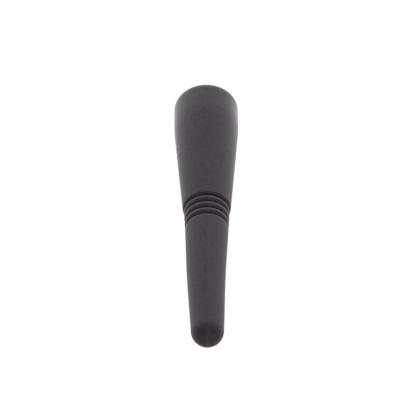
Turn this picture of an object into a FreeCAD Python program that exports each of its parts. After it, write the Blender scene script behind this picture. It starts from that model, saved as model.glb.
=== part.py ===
import FreeCAD, Part
import math
import os

import Sketcher
from FreeCAD import Vector

# Bar muddler, standing on its wide flat end. The origin is the centre of that end and +Z runs up
# to the ball-rounded tip. The handle is one hollow moulding, cored from the wide end. A toothed
# plug snaps into the core opening, its face level with the rim, and an O-ring seals it.

doc = FreeCAD.newDocument("Muddler")

# Driving dimensions in millimetres, and plain counts.
dimensions = {
    # handle, outside
    "overall_length": 210.0,
    "head_diameter": 40.6,
    "head_length": 19.5,        # straight part of the head, up to where the taper begins
    "rim_round": 6.5,           # rounding round the wide end
    "taper_blend": 150.0,       # radius that softens the change from straight head to taper
    "upper_grip_end": 98.3,     # height of the lip above the first groove
    "lip_diameter": 29.3,
    "lip_land": 1.2,            # flat between the lip's rounding and the groove's floor
    "groove_depth": 3.15,       # from the lip down to the floor of the grooves
    "bead_count": 3,
    "bead_radius": 2.7,
    "bead_pitch": 5.2,
    "first_bead_gap": 2.4,      # lip to the middle of the first bead
    "first_bead_drop": 0.7,     # the first bead's crest lies this far inside the lip
    "bead_drop": 0.25,          # each bead's crest lies this far inside the one before
    "lower_grip_gap": 3.2,      # middle of the last bead to the start of the lower grip
    "lower_grip_drop": 0.2,     # the lower grip lies this far inside the last bead's crest
    "lower_grip_land": 0.4,     # flat between the groove's floor and the lower grip's rounding
    "tip_radius": 9.7,
    # handle, inside
    "rim_land": 1.1,            # flat ring that the muddler stands on, round the pocket
    "pocket_depth": 3.0,        # recess that takes the plug's disc
    "seat_width": 1.3,          # the pocket's floor, round the bore
    "bore_end_gap": 1.5,        # straight bore beyond the plug's spigot
    "wall": 3.2,                # under the grooves and round the tip
    # plug
    "plug_clearance": 0.05,     # round the disc, and round the snap bead in its groove
    "spigot_clearance": 0.1,
    "spigot_length": 10.5,
    "spigot_wall": 2.8,
    "spigot_lead": 0.6,
    "face_thickness": 4.4,
    "face_margin": 0.7,         # kept clear of the rows of teeth, at the disc's edge
    "tooth_pitch": 3.2,
    "tooth_depth": 1.4,
    "tooth_land": 0.8,          # flat left on top of each tooth
    "rib_count": 3,             # webs across the back of the plug
    "rib_thickness": 1.6,
    "rib_height": 6.0,
    "snap_radius": 0.7,
    "snap_height": 0.4,         # how far the snap bead stands out of the spigot
    "snap_inset": 2.9,          # middle of the snap bead to the spigot's end
    # seal
    "seal_groove_depth": 1.45,
    "seal_groove_width": 2.6,
    "seal_groove_offset": 3.2,  # pocket's floor to the middle of the seal
    "seal_width": 2.1,
    "seal_contact_gap": 0.02,
}

sheet = doc.addObject("Spreadsheet::Sheet", "Sizes")
for row, (alias, number) in enumerate(dimensions.items(), start=1):
    sheet.set("A%d" % row, alias)
    sheet.set("B%d" % row, str(number))
    sheet.setAlias("B%d" % row, alias)
doc.recompute()


class Size:
    """A length with its value and the spreadsheet formula that gives it."""

    def __init__(self, value, formula):
        self.value = value
        self.formula = formula

    def combine(self, sign, other, value):
        text = other.formula if isinstance(other, Size) else repr(other)
        return Size(value, "(%s %s %s)" % (self.formula, sign, text))

    def __add__(self, other):
        return self.combine("+", other, self.value + number_of(other))

    def __sub__(self, other):
        return self.combine("-", other, self.value - number_of(other))

    def __mul__(self, other):
        return self.combine("*", other, self.value * number_of(other))

    def __truediv__(self, other):
        return self.combine("/", other, self.value / number_of(other))


def number_of(amount):
    return amount.value if isinstance(amount, Size) else float(amount)


def size(alias):
    return Size(float(dimensions[alias]), "Sizes.%s" % alias)


def whole(amount):
    return Size(float(math.floor(amount.value)), "floor(%s)" % amount.formula)


def new_body(label):
    body = doc.addObject("PartDesign::Body", label)
    body.Label = label
    body.Placement = FreeCAD.Placement()
    return body


def origin_plane(body, role):
    return next(item for item in body.Origin.OriginFeatures if item.Role == role)


def new_sketch(body, name, plane="XZ_Plane"):
    sketch = body.newObject("Sketcher::SketchObject", name)
    sketch.AttachmentSupport = [(origin_plane(body, plane), "")]
    sketch.MapMode = "FlatFace"
    return sketch


ORIGIN = (-1, 1)
HORIZONTAL, VERTICAL = -1, -2
START, END, CENTRE = 1, 2, 3
UP = Vector(0, 0, 1)
SAME_PLACE = 1e-4
SEAL_ROUND_SHARE = 0.45       # of the squeezed ring's thickness: nearly a full round


def pin_point(sketch, geometry, point, across, up):
    """Fixes a point at (across, up), each given as a Size, or None for a point on that axis."""
    for kind, amount, axis in (("DistanceX", across, VERTICAL), ("DistanceY", up, HORIZONTAL)):
        if amount is None:
            sketch.addConstraint(Sketcher.Constraint("PointOnObject", geometry, point, axis))
        else:
            number = sketch.addConstraint(Sketcher.Constraint(kind, *ORIGIN, geometry, point, amount.value))
            sketch.setExpression("Constraints[%d]" % number, amount.formula)


def corner(across, up):
    return Vector(0 if across is None else across.value, 0 if up is None else up.value, 0)


def straight_outline(sketch, points):
    """A closed outline of straight lines, with every corner pinned to the sheet."""
    count = len(points)
    for index in range(count):
        start, end = corner(*points[index]), corner(*points[(index + 1) % count])
        sketch.addGeometry(Part.LineSegment(start, end), False)
    for index in range(count):
        following = (index + 1) % count
        sketch.addConstraint(Sketcher.Constraint("Coincident", index, END, following, START))
        pin_point(sketch, index, START, *points[index])


def round_ended_outline(sketch, points, end_radius, end_centre, blend_after=None, blend_radius=None):
    """Corners from the axis outwards, then a straight taper that runs into a round end on the axis.

    The line that leaves point number blend_after starts with an arc that softens that corner.
    """
    places = [corner(*point) for point in points]
    centre = Vector(0, end_centre.value, 0)
    places.append(centre + Vector(end_radius.value, 0, 0))
    starts, ties = [], []
    last = None
    for index in range(len(points)):
        start, end = places[index], places[index + 1]
        starts.append(last + 1 if last is not None else 0)
        if index == blend_after:
            middle = start - Vector(blend_radius.value, 0, 0)
            circle = Part.Circle(middle, UP, blend_radius.value)
            swing = math.atan2(start.x - end.x, end.y - start.y)
            last = sketch.addGeometry(Part.ArcOfCircle(circle, 0, swing), False)
            start = sketch.Geometry[last].EndPoint
            number = sketch.addConstraint(Sketcher.Constraint("Radius", last, blend_radius.value))
            sketch.setExpression("Constraints[%d]" % number, blend_radius.formula)
            ties += [("Tangent", last - 1, last), ("Tangent", last, last + 1)]
        elif last is not None:
            ties.append(("Coincident", last, last + 1))
        last = sketch.addGeometry(Part.LineSegment(start, end), False)
    circle = Part.Circle(centre, UP, end_radius.value)
    ball = sketch.addGeometry(Part.ArcOfCircle(circle, 0, math.pi / 2), False)
    crown = sketch.Geometry[ball].EndPoint
    axis = sketch.addGeometry(Part.LineSegment(crown, places[0]), False)
    ties += [("Tangent", last, ball), ("Coincident", ball, axis), ("Coincident", axis, 0)]

    for kind, before, after in ties:
        sketch.addConstraint(Sketcher.Constraint(kind, before, END, after, START))
    for index, point in zip(starts, points):
        pin_point(sketch, index, START, *point)
    sketch.addConstraint(Sketcher.Constraint("PointOnObject", ball, END, VERTICAL))
    pin_point(sketch, ball, CENTRE, None, end_centre)
    number = sketch.addConstraint(Sketcher.Constraint("Radius", ball, end_radius.value))
    sketch.setExpression("Constraints[%d]" % number, end_radius.formula)


def turn(body, sketch, name, kind="PartDesign::Revolution"):
    """Turns a sketch once round the body's Z axis, as a solid or, with Groove, as a cut."""
    feature = body.newObject(kind, name)
    feature.Profile = sketch
    feature.ReferenceAxis = (sketch, ["V_Axis"])
    feature.Angle = 360.0
    sketch.Visibility = False
    doc.recompute()
    return feature


def ring(body, name, middle_radius, section_radius, height, kind="PartDesign::AdditiveTorus"):
    """A ring of round section, centred on the Z axis at the given height."""
    feature = body.newObject(kind, name)
    feature.AttachmentSupport = [(origin_plane(body, "XY_Plane"), "")]
    feature.MapMode = "FlatFace"
    feature.setExpression("Radius1", middle_radius.formula)
    feature.setExpression("Radius2", section_radius.formula)
    feature.setExpression("AttachmentOffset.Base.z", height.formula)
    doc.recompute()
    return feature


def round_edge(body, name, radius, height, formula, kind="PartDesign::Fillet", value="Radius"):
    """Rounds or bevels the one circular edge that lies at this radius and height."""
    base = body.Tip
    edges = []
    for number, edge in enumerate(base.Shape.Edges, start=1):
        if edge.Degenerated or not isinstance(edge.Curve, Part.Circle):
            continue
        same_radius = abs(edge.Curve.Radius - radius.value) < SAME_PLACE
        if same_radius and abs(edge.Curve.Center.z - number_of(height)) < SAME_PLACE:
            edges.append("Edge%d" % number)
    if not edges:
        raise RuntimeError("%s: no edge found" % name)
    feature = body.newObject(kind, name)
    feature.Base = (base, edges)
    feature.setExpression(value, formula)
    doc.recompute()
    return feature


def removed_something(feature, before):
    if not feature.Shape.Volume < before - SAME_PLACE:
        raise RuntimeError("%s cut nothing" % feature.Label)


# Heights and radii that several pieces share.
head_radius = size("head_diameter") / 2
lip_radius = size("lip_diameter") / 2
lip_height = size("upper_grip_end")
neck_radius = lip_radius - size("groove_depth")
lip_round = lip_radius - neck_radius - size("lip_land")
first_crest = lip_radius - size("first_bead_drop")
last_crest = first_crest - (size("bead_count") - 1) * size("bead_drop")
first_bead = lip_height + size("first_bead_gap")
last_bead = first_bead + (size("bead_count") - 1) * size("bead_pitch")
lower_start = last_bead + size("lower_grip_gap")
lower_radius = last_crest - size("lower_grip_drop")
lower_round = lower_radius - neck_radius - size("lower_grip_land")
tip_centre = size("overall_length") - size("tip_radius")
pocket_radius = head_radius - size("rim_round") - size("rim_land")
bore_radius = pocket_radius - size("seat_width")
disc_radius = pocket_radius - size("plug_clearance")
spigot_radius = bore_radius - size("spigot_clearance")
spigot_end = size("pocket_depth") + size("spigot_length")
bore_depth = spigot_end + size("bore_end_gap")
cup_radius = spigot_radius - size("spigot_wall")
snap_height = spigot_end - size("snap_inset")
snap_middle = spigot_radius + size("snap_height") - size("snap_radius")
seal_height = size("pocket_depth") + size("seal_groove_offset")
seal_root = spigot_radius - size("seal_groove_depth")


def build_handle():
    body = new_body("handle_body")

    # outside: straight head, taper to the lip, step in to the neck, step out to the lower grip,
    # then a taper that runs into the ball tip
    outline = new_sketch(body, "HandleOutline")
    round_ended_outline(
        outline,
        [
            (None, None),
            (head_radius, None),
            (head_radius, size("head_length")),
            (lip_radius, lip_height),
            (neck_radius, lip_height),
            (neck_radius, lower_start),
            (lower_radius, lower_start),
        ],
        size("tip_radius"),
        tip_centre,
        blend_after=2,
        blend_radius=size("taper_blend"),
    )
    turn(body, outline, "HandleSolid")

    for index in range(int(dimensions["bead_count"])):
        middle = first_crest - size("bead_drop") * index - size("bead_radius")
        height = first_bead + size("bead_pitch") * index
        ring(body, "Bead%d" % (index + 1), middle, size("bead_radius"), height)

    round_edge(body, "RimRound", head_radius, 0, "Sizes.rim_round")
    round_edge(body, "LipRound", lip_radius, lip_height, lip_round.formula)
    round_edge(body, "LowerGripRound", lower_radius, lower_start, lower_round.formula)

    # inside: pocket for the plug's disc, straight bore, then a core that narrows to the tip
    before = body.Tip.Shape.Volume
    core = new_sketch(body, "CoreOutline")
    round_ended_outline(
        core,
        [
            (None, None),
            (pocket_radius, None),
            (pocket_radius, size("pocket_depth")),
            (bore_radius, size("pocket_depth")),
            (bore_radius, bore_depth),
            (neck_radius - size("wall"), lower_start),
        ],
        size("tip_radius") - size("wall"),
        tip_centre,
    )
    removed_something(turn(body, core, "Core", "PartDesign::Groove"), before)

    before = body.Tip.Shape.Volume
    section = size("snap_radius") + size("plug_clearance")
    groove = ring(body, "SnapGroove", snap_middle, section, snap_height, "PartDesign::SubtractiveTorus")
    removed_something(groove, before)
    return body


def cut_tooth_rows(body, plane, axis_role, name):
    """Parallel V-shaped channels across the plug's face."""
    before = body.Tip.Shape.Volume
    row_count = whole((disc_radius - size("face_margin")) * 2 / size("tooth_pitch"))
    reach = size("tooth_pitch") * (row_count - 1)
    first = reach * -0.5
    half_width = (size("tooth_pitch") - size("tooth_land")) / 2
    sketch = new_sketch(body, name + "Outline", plane)
    straight_outline(
        sketch,
        [
            (first - half_width, None),
            (first + half_width, None),
            (first, size("tooth_depth")),
        ],
    )
    channel = body.newObject("PartDesign::Pocket", name)
    channel.Profile = sketch
    channel.Midplane = True
    channel.Type = "Length"
    channel.setExpression("Length", "Sizes.head_diameter")
    sketch.Visibility = False
    doc.recompute()
    removed_something(channel, before)
    rows = body.newObject("PartDesign::LinearPattern", name + "Rows")
    rows.Originals = [channel]
    rows.Direction = (origin_plane(body, axis_role), [""])
    rows.setExpression("Length", reach.formula)
    rows.setExpression("Occurrences", row_count.formula)
    body.Tip = rows
    doc.recompute()
    removed_something(rows, channel.Shape.Volume)


def build_plug():
    body = new_body("head_plug")
    outline = new_sketch(body, "PlugOutline")
    straight_outline(
        outline,
        [
            (None, None),
            (disc_radius, None),
            (disc_radius, size("pocket_depth")),
            (spigot_radius, size("pocket_depth")),
            (spigot_radius, spigot_end),
            (cup_radius, spigot_end),
            (cup_radius, size("face_thickness")),
            (None, size("face_thickness")),
        ],
    )
    turn(body, outline, "PlugSolid")
    round_edge(
        body, "SpigotLead", spigot_radius, spigot_end, "Sizes.spigot_lead", "PartDesign::Chamfer", "Size"
    )

    # webs across the back, from wall to wall
    rib = new_sketch(body, "RibOutline")
    half_length = cup_radius + size("spigot_wall") / 2
    straight_outline(
        rib,
        [
            (half_length * -1, size("face_thickness")),
            (half_length, size("face_thickness")),
            (half_length, size("face_thickness") + size("rib_height")),
            (half_length * -1, size("face_thickness") + size("rib_height")),
        ],
    )
    web = body.newObject("PartDesign::Pad", "Rib")
    web.Profile = rib
    web.Midplane = True
    web.setExpression("Length", "Sizes.rib_thickness")
    rib.Visibility = False
    doc.recompute()
    webs = body.newObject("PartDesign::PolarPattern", "Ribs")
    webs.Originals = [web]
    webs.Axis = (origin_plane(body, "Z_Axis"), [""])
    webs.Angle = 180.0
    webs.setExpression("Occurrences", "Sizes.rib_count")
    body.Tip = webs
    doc.recompute()

    # seal groove and snap bead round the spigot
    before = body.Tip.Shape.Volume
    half_width = size("seal_groove_width") / 2
    groove = new_sketch(body, "SealGrooveOutline")
    straight_outline(
        groove,
        [
            (seal_root, seal_height - half_width),
            (pocket_radius, seal_height - half_width),
            (pocket_radius, seal_height + half_width),
            (seal_root, seal_height + half_width),
        ],
    )
    removed_something(turn(body, groove, "SealGroove", "PartDesign::Groove"), before)
    ring(body, "SnapBead", snap_middle, size("snap_radius"), snap_height)

    cut_tooth_rows(body, "XZ_Plane", "X_Axis", "ToothChannelY")
    cut_tooth_rows(body, "YZ_Plane", "Y_Axis", "ToothChannelX")
    return body


def build_seal():
    """The O-ring as it sits, squeezed between the groove's floor and the bore."""
    body = new_body("plug_seal")
    gap = size("seal_contact_gap")
    half_width = size("seal_width") / 2
    inner, outer = seal_root + gap, bore_radius - gap
    outline = new_sketch(body, "SealOutline")
    straight_outline(
        outline,
        [
            (inner, seal_height - half_width),
            (outer, seal_height - half_width),
            (outer, seal_height + half_width),
            (inner, seal_height + half_width),
        ],
    )
    turn(body, outline, "SealSolid")
    corner_round = (outer - inner) * SEAL_ROUND_SHARE
    for side, across in (("Inner", inner), ("Outer", outer)):
        for end, up in (("Lower", seal_height - half_width), ("Upper", seal_height + half_width)):
            round_edge(body, side + end + "Round", across, up, corner_round.formula)
    return body


bodies = [build_handle(), build_plug(), build_seal()]
doc.recompute()

for item in doc.Objects:
    if "Invalid" in item.State or "Error" in item.State:
        raise RuntimeError("%s failed: %s" % (item.Label, item.State))

os.makedirs("parts", exist_ok=True)
for body in bodies:
    shape = body.Shape
    if shape.isNull() or not shape.isValid() or len(shape.Solids) != 1:
        raise RuntimeError("%s has no single valid solid" % body.Label)
    shape.exportStep("parts/%s.step" % body.Label)
    print("%-12s %8.2f cm3  faces %d" % (body.Label, shape.Volume / 1000, len(shape.Faces)))
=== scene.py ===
import math
import bpy
import numpy as np
from mathutils import Matrix, Vector


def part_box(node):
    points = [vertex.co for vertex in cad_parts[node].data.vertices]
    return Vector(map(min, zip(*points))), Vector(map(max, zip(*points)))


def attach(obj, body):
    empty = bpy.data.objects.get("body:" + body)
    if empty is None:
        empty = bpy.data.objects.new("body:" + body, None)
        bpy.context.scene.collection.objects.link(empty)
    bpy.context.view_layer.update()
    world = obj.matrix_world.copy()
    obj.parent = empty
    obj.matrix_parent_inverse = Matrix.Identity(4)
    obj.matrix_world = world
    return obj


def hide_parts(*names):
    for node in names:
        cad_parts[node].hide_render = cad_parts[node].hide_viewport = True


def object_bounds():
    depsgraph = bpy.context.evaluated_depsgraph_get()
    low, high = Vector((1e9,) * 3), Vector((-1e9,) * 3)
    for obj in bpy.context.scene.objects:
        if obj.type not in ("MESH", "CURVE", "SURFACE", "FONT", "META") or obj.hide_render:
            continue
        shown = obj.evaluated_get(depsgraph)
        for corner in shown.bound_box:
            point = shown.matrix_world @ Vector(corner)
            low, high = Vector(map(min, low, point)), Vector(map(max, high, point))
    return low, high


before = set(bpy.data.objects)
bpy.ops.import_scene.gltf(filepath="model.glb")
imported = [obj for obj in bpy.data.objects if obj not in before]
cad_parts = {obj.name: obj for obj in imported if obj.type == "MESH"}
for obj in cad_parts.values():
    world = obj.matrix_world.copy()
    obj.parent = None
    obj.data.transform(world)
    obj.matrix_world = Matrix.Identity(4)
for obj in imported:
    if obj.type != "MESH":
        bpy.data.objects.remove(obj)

# A moulded bar muddler standing on its wide toothed end. The sizes below are millimetres, as the
# moulding is drawn, and mm turns them into scene metres.
mm = 0.001
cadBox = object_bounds()
handleLow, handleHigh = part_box("handle_body")
plugLow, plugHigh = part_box("head_plug")
sealLow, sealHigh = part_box("plug_seal")
handleLength = (handleHigh.z - handleLow.z) / mm
headRadius = (handleHigh.x - handleLow.x) / 2 / mm
discRadius = (plugHigh.x - plugLow.x) / 2 / mm
plugLength = (plugHigh.z - plugLow.z) / mm
sealRadius = (sealHigh.x - sealLow.x) / 2 / mm
print("frame loaded: handle %.1f mm long, head %.1f mm across" % (handleLength, 2 * headRadius))

fits = {
    "pocketDepth": 3.0,        # of the head's pocket, which the plug's disc fills
    "plugClearance": 0.05,     # round the plug's disc, in its pocket
    "sealGap": 0.02,           # from the seal's outline to the bore and to its groove's floor
    "spigotClearance": 0.1,    # round the plug's spigot, in its bore
    "snapHeight": 10.6,        # of the snap bead and of the groove that it sits in
}
pocketRadius = discRadius + fits["plugClearance"]
boreRadius = sealRadius + fits["sealGap"]
spigotRadius = boreRadius - fits["spigotClearance"]


def linePart(start, end, spacing):
    # points from start up to, but not including, end
    count = max(1, int(math.dist(start, end) / spacing + 0.5))
    share = np.arange(count)[:, None] / count
    return np.array(start) + share * (np.array(end) - np.array(start))


def arcPart(centre, radius, fromDegrees, toDegrees, steps):
    # centre plus radius times (cos a, sin a), without the last point
    angle = np.radians(fromDegrees + (toDegrees - fromDegrees) * np.arange(steps) / steps)
    return np.column_stack([centre[0] + radius * np.cos(angle), centre[1] + radius * np.sin(angle)])


def pathPart(corners, spacing):
    # straight runs from corner to corner, without the last corner
    return np.vstack([linePart(start, end, spacing) for start, end in zip(corners[:-1], corners[1:])])


def gridQuads(index, loopColumns=True, loopRows=False):
    # four-cornered faces between neighbours of a grid of point numbers
    if loopColumns:
        index = np.column_stack([index, index[:, 0]])
    if loopRows:
        index = np.vstack([index, index[0]])
    corners = [index[:-1, :-1], index[1:, :-1], index[1:, 1:], index[:-1, 1:]]
    return np.stack(corners, axis=-1).reshape(-1, 4)


def poleTriangles(ring, pole, facingUp):
    # closes a ring of point numbers onto one point
    after = np.roll(ring, -1)
    sides = [ring, after] if facingUp else [after, ring]
    return np.column_stack(sides + [np.full(len(ring), pole)])


def meshPiece(name, points, faces, sharpDegrees):
    # smooth-shaded object from points in millimetres, with edges kept sharp past sharpDegrees
    mesh = bpy.data.meshes.new(name)
    mesh.from_pydata((points * mm).tolist(), [], [face for part in faces for face in part.tolist()])
    mesh.update()
    mesh.shade_smooth()
    mesh.set_sharp_from_angle(angle=math.radians(sharpDegrees))
    piece = bpy.data.objects.new(name, mesh)
    bpy.context.scene.collection.objects.link(piece)
    print("%s: %d faces" % (name, len(mesh.polygons)))
    return piece


handle = {
    "straightHead": 19.5,      # the head is straight up to here, then the taper blends in
    "rimRound": 6.5,
    "taperBlend": 150.0,
    "lipHeight": 98.3,
    "lipRadius": 14.65,
    "lipRound": 1.95,
    "neckRadius": 11.5,        # floor of the grooves between the beads
    "beadCount": 3,
    "beadRadius": 2.7,
    "beadPitch": 5.2,
    "firstBeadGap": 2.4,
    "firstCrest": 13.95,
    "beadDrop": 0.25,
    "lowerGap": 3.2,
    "lowerRadius": 13.25,
    "lowerRound": 1.35,
    "tipRadius": 9.7,
    "boreDepth": 15.0,
    "snapInside": 0.4,         # from the bore in to the middle of the snap groove's section
    "snapRadius": 0.75,
    "wall": 3.2,
    "edgeBreak": 0.2,          # rounding left on the moulding's sharp edges
    "columns": 160,
    "bow": 0.5,                # how far the slim lower grip cooled out of line, towards +X
    "bowStart": 108.0,
    "bowEnd": 204.0,
    "wearReach": 1.8,          # how far from a crest the polish reaches
    "sharpDegrees": 40,
    "arcRows": {               # rows of the mesh round each rounding
        "tip": 44, "lowerEdge": 14, "bead": 30, "lip": 18, "blend": 10, "rim": 22,
        "pocketEdge": 5, "boreEdge": 4, "snap": 10, "coreEnd": 12,
    },
    "spacing": {               # between the rows along each straight run
        "grip": 2.0, "neck": 0.1, "lipFace": 0.3, "taper": 1.5, "gate": 0.12,
        "ring": 0.3, "pocket": 0.7, "bore": 1.5, "core": 12.0,
    },
}

seam = {
    "degrees": 266.0,          # where the mould's halves meet; the other seam is opposite
    "reach": 4.0,              # closely spaced columns this many degrees each side of a seam
    "closeColumns": 25,
    "width": 0.32,
    "height": 0.03,
    "lineHighlight": 0.34,          # painted highlight along the seam's ridge: how much paler the line is drawn
    "tipHighlight": 0.8,            # and how much over the tip, from tipFrom to tipTo up the handle
    "tipFrom": 202.0,
    "tipTo": 207.0,
    "sidePale": 0.19,          # the colour is a little paler on one side of the seam, fading away from it
    "sideReach": 6.0,
    "fadeFrom": 50.0,          # the line starts to show at this height
    "fadeTo": 88.0,
    "evenness": 0.65,          # level of the line's strength
    "waves": [                 # depth, radians per millimetre and start of each wave in it
        (0.2, 0.31, 0.0),
        (0.15, 0.87, 1.0),
    ],
    "gateReach": 3,            # closely spaced rows this many radii each side of the first nub
    "nubs": [                  # degrees round, height, radius and stand; the gate's is the first
        (267.2, 93.6, 0.62, 0.3),
        (265.6, 106.2, 0.45, 0.14),
        (267.2, 115.1, 0.6, 0.1),
    ],
}


def cornerCentre(corner, outward, radius, side):
    # middle of a rounding between the flat at the corner's height and the slope that faces
    # outward; the moulding lies on the given side of the flat, +1 above it or -1 below it
    x = corner[0] - radius * (1 + side * outward[1]) / outward[0]
    return (x, corner[1] + side * radius)


def tangentFrom(point, centre, radius):
    # direction in degrees from the circle's centre to the point, and how far to each side of that
    # direction a line through the point touches the circle
    across, up = point[0] - centre[0], point[1] - centre[1]
    opening = math.acos(radius / math.hypot(across, up))
    return math.degrees(math.atan2(up, across)), math.degrees(opening)


def onCircle(centre, radius, degrees):
    # centre plus radius times (cos a, sin a)
    angle = math.radians(degrees)
    return (centre[0] + radius * math.cos(angle), centre[1] + radius * math.sin(angle))


def beadCrest(number, h):
    # radius and height of a bead's crest, counted from the lip
    height = h["lipHeight"] + h["firstBeadGap"] + h["beadPitch"] * number
    return h["firstCrest"] - h["beadDrop"] * number, height


def outsideProfile(h):
    # radius and height down the outside: ball tip, lower grip, beads, upper grip, head and rim
    rows, spacing = h["arcRows"], h["spacing"]
    tipCentre = (0.0, handleLength - h["tipRadius"])
    shoulder = (h["lowerRadius"], beadCrest(h["beadCount"] - 1, h)[1] + h["lowerGap"])
    towards, opening = tangentFrom(shoulder, tipCentre, h["tipRadius"])
    tipEnd = towards + opening
    outward = onCircle((0, 0), 1, tipEnd)
    lowerCentre = cornerCentre(shoulder, outward, h["lowerRound"], 1)
    lowerTop = onCircle(lowerCentre, h["lowerRound"], tipEnd)
    parts = [
        arcPart(tipCentre, h["tipRadius"], 90, tipEnd, rows["tip"])[1:],
        linePart(onCircle(tipCentre, h["tipRadius"], tipEnd), lowerTop, spacing["grip"]),
        arcPart(lowerCentre, h["lowerRound"], tipEnd, -90, rows["lowerEdge"]),
        linePart((lowerCentre[0], shoulder[1]), (h["neckRadius"], shoulder[1]), spacing["neck"]),
    ]

    # beads from the last to the first, each arc cut off where it reaches the neck or its neighbour
    between = math.degrees(math.acos(min(1.0, h["beadPitch"] / 2 / h["beadRadius"])))
    for number in reversed(range(h["beadCount"])):
        crest, height = beadCrest(number, h)
        middle = crest - h["beadRadius"]
        atNeck = math.degrees(math.acos((h["neckRadius"] - middle) / h["beadRadius"]))
        top = atNeck if number == h["beadCount"] - 1 else 90 - between
        bottom = atNeck if number == 0 else 90 - between
        parts.append(arcPart((middle, height), h["beadRadius"], top, -bottom, rows["bead"]))

    # rounded lip, straight taper with close rows round the gate, blend into the straight head
    lip = (h["lipRadius"], h["lipHeight"])
    blendCentre = (headRadius - h["taperBlend"], h["straightHead"])
    towards, opening = tangentFrom(lip, blendCentre, h["taperBlend"])
    slope = towards - opening
    outward = onCircle((0, 0), 1, slope)
    lipCentre = cornerCentre(lip, outward, h["lipRound"], -1)
    taperTop = onCircle(lipCentre, h["lipRound"], slope)
    taperEnd = onCircle(blendCentre, h["taperBlend"], slope)
    gateHeight, gateRadius = seam["nubs"][0][1:3]
    gateSides = [gateHeight + seam["gateReach"] * side * gateRadius for side in (1, -1)]
    taperHeights, taperRadii = zip(taperEnd[::-1], taperTop[::-1])
    gateEnds = [(np.interp(height, taperHeights, taperRadii), height) for height in gateSides]
    parts += [
        linePart((h["neckRadius"], h["lipHeight"]), (lipCentre[0], h["lipHeight"]), spacing["lipFace"]),
        arcPart(lipCentre, h["lipRound"], 90, slope, rows["lip"]),
        linePart(taperTop, gateEnds[0], spacing["taper"]),
        linePart(gateEnds[0], gateEnds[1], spacing["gate"]),
        linePart(gateEnds[1], taperEnd, spacing["grip"]),
        arcPart(blendCentre, h["taperBlend"], slope, 0, rows["blend"]),
        linePart((headRadius, h["straightHead"]), (headRadius, h["rimRound"]), spacing["grip"]),
        arcPart((headRadius - h["rimRound"], h["rimRound"]), h["rimRound"], 0, -90, rows["rim"]),
    ]
    return np.vstack(parts)


def insideProfile(h):
    # from the rim's flat ring round the pocket and the bore, then up the core to its round end
    rows, spacing, depth = h["arcRows"], h["spacing"], fits["pocketDepth"]
    e = h["edgeBreak"]
    coreRadius = h["tipRadius"] - h["wall"]
    tipCentre = (0.0, handleLength - h["tipRadius"])
    coreNeck = (h["neckRadius"] - h["wall"], beadCrest(h["beadCount"] - 1, h)[1] + h["lowerGap"])
    snapMiddle = boreRadius - h["snapInside"]
    snapHalf = math.degrees(math.acos(h["snapInside"] / h["snapRadius"]))
    snapRise = h["snapRadius"] * math.sin(math.radians(snapHalf))
    snapLow, snapHigh = fits["snapHeight"] - snapRise, fits["snapHeight"] + snapRise
    parts = [
        linePart((headRadius - h["rimRound"], 0.0), (pocketRadius + e, 0.0), spacing["ring"]),
        arcPart((pocketRadius + e, e), e, -90, -180, rows["pocketEdge"]),
        pathPart([(pocketRadius, e), (pocketRadius, depth), (boreRadius + e, depth)], spacing["pocket"]),
        arcPart((boreRadius + e, depth + e), e, -90, -180, rows["boreEdge"]),
        linePart((boreRadius, depth + e), (boreRadius, snapLow), spacing["bore"]),
        arcPart((snapMiddle, fits["snapHeight"]), h["snapRadius"], -snapHalf, snapHalf, rows["snap"]),
        linePart((boreRadius, snapHigh), (boreRadius, h["boreDepth"]), spacing["bore"]),
        pathPart([(boreRadius, h["boreDepth"]), coreNeck, (coreRadius, tipCentre[1])], spacing["core"]),
        arcPart(tipCentre, coreRadius, 0, 90, rows["coreEnd"]),
    ]
    return np.vstack(parts)


def seamShare(radius, angle):
    # exp(-(distance from the seam's plane / width) squared), on each seam's own side
    share = np.zeros_like(radius)
    for opposite in (0.0, 180.0):
        away = angle - math.radians(seam["degrees"] + opposite)
        share += (np.cos(away) > 0) * np.exp(-(radius * np.sin(away) / seam["width"]) ** 2)
    return share


def lineStrength(height):
    # evenness plus depth times sin(rate times height plus start) for each wave
    return sum((depth * np.sin(rate * height + start) for depth, rate, start in seam["waves"]),
               seam["evenness"])


def nubShapes(radius, height, angle):
    # a round bump for each nub of flash, exp(-(distance / radius) squared): how far it stands out, and
    # its share of the pale colour, a painted highlight on the nub
    rise, share = np.zeros_like(radius), np.zeros_like(radius)
    for degrees, nubHeight, nubRadius, stand in seam["nubs"]:
        away = angle - math.radians(degrees)
        distance = np.hypot(radius * np.sin(away), height - nubHeight)
        bump = (np.cos(away) > 0) * np.exp(-(distance / nubRadius) ** 2)
        rise += stand * bump
        share = np.maximum(share, bump)
    return rise, share


def seamHighlightAndPaleSide(share, radius, height, angle):
    # share of the pale colour: painted highlight along the seam's ridge, stronger over the tip, and the
    # paler side beside it, which fades by exp(-distance / sideReach)
    away = angle - math.radians(seam["degrees"])
    beside = np.exp(-np.abs(radius * np.sin(away)) / seam["sideReach"])
    beside = beside * (np.sin(away) < 0) * (np.cos(away) > 0)
    shows = np.clip((height - seam["fadeFrom"]) / (seam["fadeTo"] - seam["fadeFrom"]), 0, 1)
    line = np.interp(height, [seam["tipFrom"], seam["tipTo"]], [seam["lineHighlight"], seam["tipHighlight"]])
    return np.maximum(line * share, seam["sidePale"] * beside) * shows


def edgeWear(radius, height, h):
    # hands polish what stands proud: exp(-(distance / wearReach) squared) from each bead's crest
    # and from the lower grip's upper edge
    crests = [beadCrest(number, h) for number in range(h["beadCount"])]
    edge = h["lowerRound"] / 2
    crests.append((h["lowerRadius"] - edge, crests[-1][1] + h["lowerGap"] + edge))
    total = np.zeros_like(radius)
    for crestRadius, crestHeight in crests:
        distance = np.hypot(radius - crestRadius, height - crestHeight)
        total = np.maximum(total, np.exp(-(distance / h["wearReach"]) ** 2))
    return total


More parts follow.
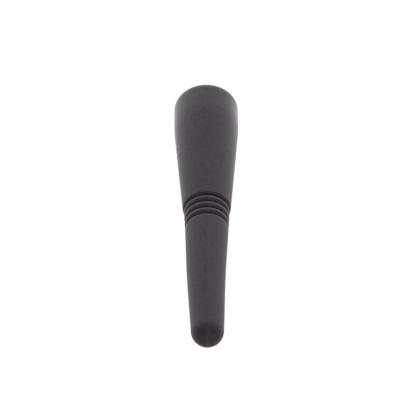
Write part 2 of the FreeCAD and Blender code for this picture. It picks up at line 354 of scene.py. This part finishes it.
def seamColumns():
    # even columns, and close ones across both seams
    even = np.arange(0, 360, 360 / handle["columns"])
    close = np.linspace(-seam["reach"], seam["reach"], seam["closeColumns"])
    angles = np.concatenate([even, seam["degrees"] + close, seam["degrees"] - 180 + close])
    return np.radians(np.unique(np.round(angles % 360, 2)))


def buildHandle(h):
    # Point (u, a) is (r cos a, r sin a, z) for profile point u = (r, z). The seams' ridges and the
    # nubs add to r on the outside, and bow times sin squared of pi times the way along the lower
    # grip adds to x.
    outside, inside = outsideProfile(h), insideProfile(h)
    profile = np.vstack([outside, inside])
    u, a = np.meshgrid(np.arange(len(profile)), seamColumns(), indexing="ij")
    radius, height = profile[u, 0], profile[u, 1]
    onOutside = u < len(outside)
    share = seamShare(radius, a) * onOutside
    uneven = lineStrength(height)
    nubRise, nubHighlight = nubShapes(radius, height, a)
    # painted highlight along the seam and on the nubs, and the paler side beside the seam
    pale = np.maximum(seamHighlightAndPaleSide(share * uneven, radius, height, a), nubHighlight) * onOutside
    worn = edgeWear(radius, height, h) * onOutside
    radius = radius + share * uneven * seam["height"] + nubRise * onOutside
    along = np.clip((height - h["bowStart"]) / (h["bowEnd"] - h["bowStart"]), 0, 1)
    x = radius * np.cos(a) + h["bow"] * np.sin(math.pi * along) ** 2
    y = radius * np.sin(a)
    coreEnd = handleLength - h["wall"]
    poles = [[0, 0, handleLength], [0, 0, coreEnd]]
    points = np.vstack([np.column_stack([x.ravel(), y.ravel(), height.ravel()]), poles])
    index = np.arange(u.size).reshape(u.shape)
    faces = [
        gridQuads(index),
        poleTriangles(index[0], u.size, True),
        poleTriangles(index[-1], u.size + 1, False),
    ]
    piece = meshPiece("handle", points, faces, h["sharpDegrees"])
    # the flash attribute carries the painted seam highlight and the paler side; worn carries the polish
    for name, values in (("flash", pale), ("worn", worn)):
        attribute = piece.data.attributes.new(name, "FLOAT", "POINT")
        attribute.data.foreach_set("value", np.append(values.ravel(), [0, 0]))
    return piece


plug = {
    "grid": 128,               # cells across the toothed face and across the back
    "toothPitch": 3.2,
    "toothDepth": 1.4,
    "toothLand": 0.8,          # flat left on top of each tooth
    "faceMargin": 0.7,         # kept clear of channels at the disc's edge
    "toothRound": 0.18,        # a cutter leaves the edges this round
    "hipRound": 0.02,
    "edgeBreak": 0.12,
    "spigotWall": 2.8,
    "lead": 0.6,
    "faceThickness": 4.4,
    "sealHeight": 6.2,
    "sealGroove": (1.45, 2.6), # depth and width
    "snapRadius": 0.7,
    "snapStand": 0.4,
    "ribs": 3,
    "ribThickness": 1.6,
    "ribHeight": 6.0,
    "ribRound": 0.25,
    "sharpDegrees": 50,
    "edgeRows": 4,             # rows of the mesh round the disc's edge and round the snap bead
    "snapRows": 10,
    "outerSpacing": 1.6,       # between the rows along the outside and down the cup
    "cupSpacing": 1.4,
    "channelSamples": 5,       # depths averaged to round a channel's edges
}


def roundGrid(count, radius):
    # Square (u, v), each from -1 to 1, pressed out to a disc: x = u sqrt(1 - v v / 2) and
    # y = v sqrt(1 - u u / 2), times the radius. Also gives all point numbers and those of its edge.
    u, v = np.meshgrid(np.linspace(-1, 1, count + 1), np.linspace(-1, 1, count + 1), indexing="ij")
    index = np.arange(u.size).reshape(u.shape)
    edge = np.concatenate([index[:-1, 0], index[-1, :-1], index[:0:-1, -1], index[0, :0:-1]])
    return radius * u * np.sqrt(1 - v * v / 2), radius * v * np.sqrt(1 - u * u / 2), index, edge


def channelDepth(across, p):
    # depth of a row of V-shaped channels, averaged over a short way each side to round its edges
    half = (p["toothPitch"] - p["toothLand"]) / 2
    rows = int(2 * (discRadius - p["faceMargin"]) / p["toothPitch"])
    reach = p["toothPitch"] * rows / 2
    total = np.zeros_like(across)
    offsets = np.linspace(-p["toothRound"], p["toothRound"], p["channelSamples"])
    for offset in offsets:
        place = across + offset
        away = np.abs(np.mod((place + reach) / p["toothPitch"], 1) - 0.5) * p["toothPitch"]
        total += np.clip(1 - away / half, 0, 1) * (np.abs(place) < reach)
    return p["toothDepth"] * total / len(offsets)


def toothDepth(x, y, p):
    # (a + b + sqrt((a - b) squared + hipRound a b)) / 2: the deeper of the two rows of channels,
    # eased where they are equally deep
    a, b = channelDepth(x, p), channelDepth(y, p)
    return (a + b + np.sqrt((a - b) ** 2 + p["hipRound"] * a * b)) / 2


def ribRise(x, y, p):
    # height of the webs above the cup's floor: a smooth step over ribRound, centred half a
    # thickness from each web's middle line
    rise = np.zeros_like(x)
    for number in range(p["ribs"]):
        turn = math.pi * number / p["ribs"]
        away = np.abs(y * math.cos(turn) - x * math.sin(turn))
        inward = np.clip((p["ribThickness"] / 2 - away) / p["ribRound"] + 0.5, 0, 1)
        rise = np.maximum(rise, inward * inward * (3 - 2 * inward))
    return rise * p["ribHeight"]


def plugProfile(p):
    # radius and height from the disc's edge up the outside, over the spigot's end and down the cup
    e = p["edgeBreak"]
    disc, spigot, top, snap = discRadius, spigotRadius, fits["pocketDepth"], fits["snapHeight"]
    cup = spigot - p["spigotWall"]
    depth, width = p["sealGroove"]
    low, high = p["sealHeight"] - width / 2, p["sealHeight"] + width / 2
    middle = spigot + p["snapStand"] - p["snapRadius"]
    half = math.degrees(math.acos((spigot - middle) / p["snapRadius"]))
    rise = p["snapRadius"] * math.sin(math.radians(half))
    return np.vstack([
        arcPart((disc - e, e), e, -90, 0, p["edgeRows"])[1:],
        pathPart([(disc, e), (disc, top - e), (disc - e, top), (spigot + e, top), (spigot, top + e),
                  (spigot, low - e), (spigot - e, low), (spigot - depth, low), (spigot - depth, high),
                  (spigot - e, high), (spigot, high + e), (spigot, snap - rise)], p["outerSpacing"]),
        arcPart((middle, snap), p["snapRadius"], -half, half, p["snapRows"]),
        pathPart([(spigot, snap + rise), (spigot, plugLength - p["lead"]),
                  (spigot - p["lead"], plugLength), (cup + e, plugLength), (cup, plugLength - e),
                  (cup, p["faceThickness"] + e)], p["cupSpacing"]),
    ])


def buildPlug(p):
    # Toothed face and ribbed cup floor are heights over two discs. The sides between them are the
    # profile turned round, each row squeezed up or down to follow the edges that it meets.
    e = p["edgeBreak"]
    faceX, faceY, faceIndex, faceEdge = roundGrid(p["grid"], discRadius - e)
    faceZ = toothDepth(faceX, faceY, p)
    cup = spigotRadius - p["spigotWall"]
    floorX, floorY, floorIndex, floorEdge = roundGrid(p["grid"], cup - e)
    floorRise = ribRise(floorX, floorY, p)
    profile = plugProfile(p)
    angles = np.arctan2(faceY.ravel()[faceEdge], faceX.ravel()[faceEdge])
    u, column = np.meshgrid(np.arange(len(profile)), np.arange(len(angles)), indexing="ij")
    radius, height = profile[u, 0], profile[u, 1]
    squeeze = np.clip(1 - height / (fits["pocketDepth"] - 2 * e), 0, 1)
    inCup = (radius <= cup + e / 2) & (height > p["faceThickness"])
    lift = np.clip((plugLength - e - height) / (plugLength - e - p["faceThickness"]), 0, 1) * inCup
    height = height + squeeze * faceZ.ravel()[faceEdge][column]
    height = height + lift * floorRise.ravel()[floorEdge][column]
    x, y = radius * np.cos(angles[column]), radius * np.sin(angles[column])

    points = np.vstack([
        np.column_stack([faceX.ravel(), faceY.ravel(), faceZ.ravel()]),
        np.column_stack([x.ravel(), y.ravel(), height.ravel()]),
        np.column_stack([floorX.ravel(), floorY.ravel(), p["faceThickness"] + floorRise.ravel()]),
    ])
    sideStart = faceX.size
    floorStart = sideStart + u.size
    sides = sideStart + np.arange(u.size).reshape(u.shape)
    sides = np.vstack([faceEdge, sides, floorStart + floorEdge])
    faces = [
        gridQuads(faceIndex.T, loopColumns=False),
        gridQuads(sides)[:, ::-1],
        gridQuads(floorStart + floorIndex, loopColumns=False),
    ]
    return meshPiece("headPlug", points, faces, p["sharpDegrees"])


seal = {
    "squareness": 0.78,        # 1 is an ellipse; less is flatter where the ring is squeezed
    "flash": 0.03,             # trimmed flash line of the seal's own mould, on its upper shoulder
    "flashDegrees": 45.0,
    "flashSpread": 0.12,       # in radians round the section
    "columns": 240,
    "rows": 40,
    "sharpDegrees": 60,
}


def buildSeal(s):
    # Ring of section (w, a): w runs round the section as (cos w, sin w), each raised to the
    # squareness and scaled to half the section's width and height, then turned round by a. All but
    # the flash line is drawn in a little, by 1 - flash.
    inner = spigotRadius - plug["sealGroove"][0] + fits["sealGap"]
    halfWidth = (sealRadius - inner) / 2
    halfHeight = (sealHigh.z - sealLow.z) / 2 / mm
    middle = (sealHigh.z + sealLow.z) / 2 / mm
    w, a = np.meshgrid(np.arange(s["rows"]) * 2 * math.pi / s["rows"],
                       np.arange(s["columns"]) * 2 * math.pi / s["columns"], indexing="ij")
    line = np.exp(-((w - math.radians(s["flashDegrees"])) / s["flashSpread"]) ** 2)
    flash = 1 - s["flash"] + s["flash"] * line
    across = np.sign(np.cos(w)) * np.abs(np.cos(w)) ** s["squareness"] * flash
    up = np.sign(np.sin(w)) * np.abs(np.sin(w)) ** s["squareness"] * flash
    radius = (sealRadius + inner) / 2 + halfWidth * across
    height = middle + halfHeight * up
    x, y = radius * np.cos(a), radius * np.sin(a)
    points = np.column_stack([x.ravel(), y.ravel(), height.ravel()])
    faces = gridQuads(np.arange(w.size).reshape(w.shape), loopRows=True)[:, ::-1]
    return meshPiece("plugSeal", points, [faces], s["sharpDegrees"])


handlePiece = buildHandle(handle)
plugPiece = buildPlug(plug)
sealPiece = buildSeal(seal)
for piece, node, slot in (
    (handlePiece, "handle_body", "handle_plastic"),
    (plugPiece, "head_plug", "plug_plastic"),
    (sealPiece, "plug_seal", "seal_rubber"),
):
    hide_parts(node)
    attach(piece, "root")


def linearColour(hexText):
    # sRGB hex to linear light, by the curve that sRGB defines, with full opacity
    parts = [int(hexText[i:i + 2], 16) / 255 for i in (1, 3, 5)]
    return [c / 12.92 if c <= 0.04045 else ((c + 0.055) / 1.055) ** 2.4 for c in parts] + [1.0]


def addNode(tree, kind, settings=None, links=None):
    # settings name a property or an input of the node; links join an input to another node's output
    node = tree.nodes.new(kind)
    for name, value in (settings or {}).items():
        if isinstance(name, int) or name in node.inputs:
            node.inputs[name].default_value = value
        else:
            setattr(node, name, value)
    for name, source in (links or {}).items():
        tree.links.new(source, node.inputs[name])
    return node


def newMaterial(name):
    # an empty material and its node tree
    material = bpy.data.materials.new(name)
    material.use_nodes = True
    material.node_tree.nodes.clear()
    return material, material.node_tree


mouldedGrip = {
    "dark": "#1e1b1e",
    "light": "#3a363a",
    "flash": "#4e4a4e",        # pale colour: painted highlight along the seam's ridge and on its nubs, and the paler side beside the seam
    "contrast": (0.7, 1.3),    # the two noises' sum runs from dark to light between these
    "ior": 1.535,
    "roughness": (0.49, 0.61), # smoothest and roughest
    "polish": 0.13,            # taken off the roughness where hands have worn it
    "grain": 0.9,              # real spark-eroded grain is 0.15 mm, too fine to show, so drawn coarser
    "mottle": 3.0,
    "grainDepth": 0.04,
    "sheen": 0.13,             # the rough texture scatters light back at grazing angles
    "sheenRoughness": 0.42,
}


def sparkErodedNylon(s):
    # injection-moulded nylon from a spark-eroded tool: near-black, dull and finely mottled, with a
    # painted highlight along the seam's ridge and a slight polish where hands have worn it
    material, tree = newMaterial("sparkErodedNylon")
    where = addNode(tree, "ShaderNodeTexCoord").outputs["Object"]
    grain = addNode(tree, "ShaderNodeTexNoise", {"Scale": 1 / (s["grain"] * mm), "Detail": 2.0},
                    {"Vector": where})
    mottle = addNode(tree, "ShaderNodeTexNoise",
                     {"Scale": 1 / (s["mottle"] * mm), "Detail": 5.0, "Roughness": 0.7},
                     {"Vector": where})
    both = addNode(tree, "ShaderNodeMath", {"operation": "ADD"},
                   {0: grain.outputs["Fac"], 1: mottle.outputs["Fac"]})
    contrast = addNode(tree, "ShaderNodeMapRange",
                       {"From Min": s["contrast"][0], "From Max": s["contrast"][1]},
                       {"Value": both.outputs[0]})
    ground = addNode(tree, "ShaderNodeMix",
                     {"data_type": "RGBA", 6: linearColour(s["dark"]), 7: linearColour(s["light"])},
                     {"Factor": contrast.outputs["Result"]})
    # flash attribute: painted highlight along the seam and on its nubs, and the paler side beside the
    # seam
    flash = addNode(tree, "ShaderNodeAttribute", {"attribute_name": "flash"})
    colour = addNode(tree, "ShaderNodeMix", {"data_type": "RGBA", 7: linearColour(s["flash"])},
                     {"Factor": flash.outputs["Fac"], 6: ground.outputs[2]})
    rough = addNode(tree, "ShaderNodeMapRange",
                    {"To Min": s["roughness"][0], "To Max": s["roughness"][1]},
                    {"Value": grain.outputs["Fac"]})
    worn = addNode(tree, "ShaderNodeAttribute", {"attribute_name": "worn"})
    polished = addNode(tree, "ShaderNodeMath", {"operation": "MULTIPLY_ADD", 1: -s["polish"]},
                       {0: worn.outputs["Fac"], 2: rough.outputs["Result"]})
    bump = addNode(tree, "ShaderNodeBump", {"Strength": 1.0, "Distance": s["grainDepth"] * mm},
                   {"Height": grain.outputs["Fac"]})
    shader = addNode(tree, "ShaderNodeBsdfPrincipled",
                     {"IOR": s["ior"], "Sheen Weight": s["sheen"],
                      "Sheen Roughness": s["sheenRoughness"]},
                     {"Base Color": colour.outputs[2], "Roughness": polished.outputs[0],
                      "Normal": bump.outputs["Normal"]})
    addNode(tree, "ShaderNodeOutputMaterial", {}, {"Surface": shader.outputs["BSDF"]})
    return material


mouldedTeeth = {
    "dark": "#1e1d1e",
    "light": "#262526",
    "ior": 1.49,
    "roughness": (0.37, 0.5),  # smoothest and roughest
    "flow": 6.0,               # cloudy marks where the plastic flowed into the teeth
    "grain": 0.6,
    "grainDepth": 0.008,
}


def satinPolypropylene(s):
    # injection-moulded polypropylene from a stoned tool: a little smoother than the grip, with a soft
    # sheen on the teeth and faint flow clouds
    material, tree = newMaterial("satinPolypropylene")
    where = addNode(tree, "ShaderNodeTexCoord").outputs["Object"]
    flow = addNode(tree, "ShaderNodeTexNoise",
                   {"Scale": 1 / (s["flow"] * mm), "Detail": 3.0, "Distortion": 1.5}, {"Vector": where})
    grain = addNode(tree, "ShaderNodeTexNoise", {"Scale": 1 / (s["grain"] * mm), "Detail": 2.0},
                    {"Vector": where})
    colour = addNode(tree, "ShaderNodeMix",
                     {"data_type": "RGBA", 6: linearColour(s["dark"]), 7: linearColour(s["light"])},
                     {"Factor": flow.outputs["Fac"]})
    rough = addNode(tree, "ShaderNodeMapRange",
                    {"To Min": s["roughness"][0], "To Max": s["roughness"][1]},
                    {"Value": flow.outputs["Fac"]})
    bump = addNode(tree, "ShaderNodeBump", {"Strength": 1.0, "Distance": s["grainDepth"] * mm},
                   {"Height": grain.outputs["Fac"]})
    shader = addNode(tree, "ShaderNodeBsdfPrincipled", {"IOR": s["ior"]},
                     {"Base Color": colour.outputs[2], "Roughness": rough.outputs["Result"],
                      "Normal": bump.outputs["Normal"]})
    addNode(tree, "ShaderNodeOutputMaterial", {}, {"Surface": shader.outputs["BSDF"]})
    return material


mouldedSeal = {
    "dark": "#151515",
    "bloom": "#242526",        # pale bloom that comes out of the rubber as it ages
    "ior": 1.52,
    "roughness": (0.4, 0.65),  # smoothest and roughest
    "patch": 2.5,
}


def nitrileRubber(s):
    # moulded nitrile O-ring: soot black and satin, with a faint greyish bloom in patches
    material, tree = newMaterial("nitrileRubber")
    where = addNode(tree, "ShaderNodeTexCoord").outputs["Object"]
    patch = addNode(tree, "ShaderNodeTexNoise", {"Scale": 1 / (s["patch"] * mm), "Detail": 4.0},
                    {"Vector": where})
    colour = addNode(tree, "ShaderNodeMix",
                     {"data_type": "RGBA", 6: linearColour(s["dark"]), 7: linearColour(s["bloom"])},
                     {"Factor": patch.outputs["Fac"]})
    rough = addNode(tree, "ShaderNodeMapRange",
                    {"To Min": s["roughness"][0], "To Max": s["roughness"][1]},
                    {"Value": patch.outputs["Fac"]})
    shader = addNode(tree, "ShaderNodeBsdfPrincipled", {"IOR": s["ior"]},
                     {"Base Color": colour.outputs[2], "Roughness": rough.outputs["Result"]})
    addNode(tree, "ShaderNodeOutputMaterial", {}, {"Surface": shader.outputs["BSDF"]})
    return material


handlePiece.data.materials.append(sparkErodedNylon(mouldedGrip))
plugPiece.data.materials.append(satinPolypropylene(mouldedTeeth))
sealPiece.data.materials.append(nitrileRubber(mouldedSeal))
print("materials made")


studio = {
    "tableTint": (1.05, 1.0, 1.053),
    "tableSide": 12000.0,
    "domeTint": (1.16, 1.0, 1.17),  # the studio's light is a little pink
    "domeLight": 0.125,
    "domeSlope": 0.125,             # the dome is this much lighter behind and darker in front
    "domeTop": 0.47,                # and this much lighter overhead
    "backdrop": 1.0,                # what the camera sees past the table's edge
    "cardMiddle": 35.0,             # from the muddler's axis back to the card's middle
    "cardSide": 240.0,
    "cardCells": 60,
    "cardHeight": 0.2,              # above the table
    "sharpDegrees": 60,
    "cardSpots": [                  # x, y, reach and glow of each lit spot, on top of the table's own
        (0.0, 35.5, 39.0, 4.7),
        (32.0, 5.0, 14.0, 0.3),
        (-32.0, 5.0, 14.0, 0.9),
    ],
}


def stageSheet(name, middle, side, cells, height):
    # a level square grid that faces up
    x, y = np.meshgrid(np.linspace(-side / 2, side / 2, cells + 1),
                       np.linspace(-side / 2, side / 2, cells + 1) + middle, indexing="ij")
    points = np.column_stack([x.ravel(), y.ravel(), np.full(x.size, height)])
    faces = gridQuads(np.arange(x.size).reshape(x.shape), loopColumns=False)
    sheet = meshPiece(name, points, [faces], studio["sharpDegrees"])
    return sheet, points


def buildTable(s):
    # pale table lit from below, so that it throws light up all round and shows no shadow
    table = stageSheet("table", 0, s["tableSide"], 1, 0)[0]
    material, tree = newMaterial("opalAcrylic")
    glow = addNode(tree, "ShaderNodeEmission", {"Color": (*s["tableTint"], 1.0), "Strength": 1.0})
    addNode(tree, "ShaderNodeOutputMaterial", {}, {"Surface": glow.outputs[0]})
    table.data.materials.append(material)


def buildLightCard(s):
    # Card on the table under and behind the muddler, hidden from the camera, which lights the
    # head's sides. It glows as the table does, plus glow times exp(-(distance / reach) squared) for
    # each spot.
    card, points = stageSheet("lightCard", s["cardMiddle"], s["cardSide"], s["cardCells"],
                              s["cardHeight"])
    card.visible_camera = False
    glow = np.ones(len(points))
    for x, y, reach, spotGlow in s["cardSpots"]:
        glow += spotGlow * np.exp(-(np.hypot(points[:, 0] - x, points[:, 1] - y) / reach) ** 2)
    card.data.attributes.new("glow", "FLOAT", "POINT").data.foreach_set("value", glow)
    material, tree = newMaterial("litCard")
    strength = addNode(tree, "ShaderNodeAttribute", {"attribute_name": "glow"})
    light = addNode(tree, "ShaderNodeEmission", {"Color": (*s["tableTint"], 1.0)},
                    {"Strength": strength.outputs["Fac"]})
    addNode(tree, "ShaderNodeOutputMaterial", {}, {"Surface": light.outputs[0]})
    card.data.materials.append(material)


def buildDome(s):
    # soft light from all round, domeLight plus domeSlope times the direction's Y, plus domeTop
    # times its Z above the horizon; the camera sees a plain pale backdrop instead
    world = bpy.data.worlds.new("studio")
    bpy.context.scene.world = world
    world.use_nodes = True
    tree = world.node_tree
    tree.nodes.clear()
    direction = addNode(tree, "ShaderNodeTexCoord").outputs["Generated"]
    parts = addNode(tree, "ShaderNodeSeparateXYZ", {}, {0: direction})
    level = addNode(tree, "ShaderNodeMath",
                    {"operation": "MULTIPLY_ADD", 1: s["domeSlope"], 2: s["domeLight"]},
                    {0: parts.outputs["Y"]})
    overhead = addNode(tree, "ShaderNodeMath", {"operation": "MAXIMUM", 1: 0.0},
                       {0: parts.outputs["Z"]})
    strength = addNode(tree, "ShaderNodeMath", {"operation": "MULTIPLY_ADD", 1: s["domeTop"]},
                       {0: overhead.outputs[0], 2: level.outputs[0]})
    soft = addNode(tree, "ShaderNodeBackground", {"Color": (*s["domeTint"], 1.0)},
                   {"Strength": strength.outputs[0]})
    pale = addNode(tree, "ShaderNodeBackground", {"Color": (1, 1, 1, 1), "Strength": s["backdrop"]})
    ray = addNode(tree, "ShaderNodeLightPath")
    either = addNode(tree, "ShaderNodeMixShader", {},
                     {0: ray.outputs["Is Camera Ray"], 1: soft.outputs[0], 2: pale.outputs[0]})
    addNode(tree, "ShaderNodeOutputWorld", {}, {"Surface": either.outputs[0]})


cameraSetup = {
    "distance": 1465.0,
    "fromAxis": 43.3,          # degrees between the line of sight and the muddler's own axis
    "lens": 208.4,
    "sensor": 36.0,
    "roll": -0.36,
    "aimRight": 0.74,
    "aimUp": 5.9,
    "farthest": 20000.0,       # nothing past this is drawn
}


def placeCamera(c):
    # The camera stands in front of and above the tip, upside down, so the wide end is uppermost.
    middle = (cadBox[0] + cadBox[1]) / 2
    tilt, roll = math.radians(c["fromAxis"]), math.radians(c["roll"])
    back = Vector((0, -math.sin(tilt), math.cos(tilt)))
    level, upright = Vector((-1, 0, 0)), Vector((0, -math.cos(tilt), -math.sin(tilt)))
    right = level * math.cos(roll) + upright * math.sin(roll)
    up = upright * math.cos(roll) - level * math.sin(roll)
    place = middle + (right * c["aimRight"] + up * c["aimUp"] + back * c["distance"]) * mm
    data = bpy.data.cameras.new("camera")
    data.lens = c["lens"]
    data.sensor_width = c["sensor"]
    data.clip_end = c["farthest"] * mm
    camera = bpy.data.objects.new("camera", data)
    bpy.context.scene.collection.objects.link(camera)
    rows = [[right[i], up[i], back[i], place[i]] for i in range(3)]
    camera.matrix_world = Matrix(rows + [[0, 0, 0, 1]])
    bpy.context.scene.camera = camera


buildTable(studio)
buildLightCard(studio)
buildDome(studio)
placeCamera(cameraSetup)
bpy.context.scene.view_settings.view_transform = "Standard"
print("table, light and camera placed")
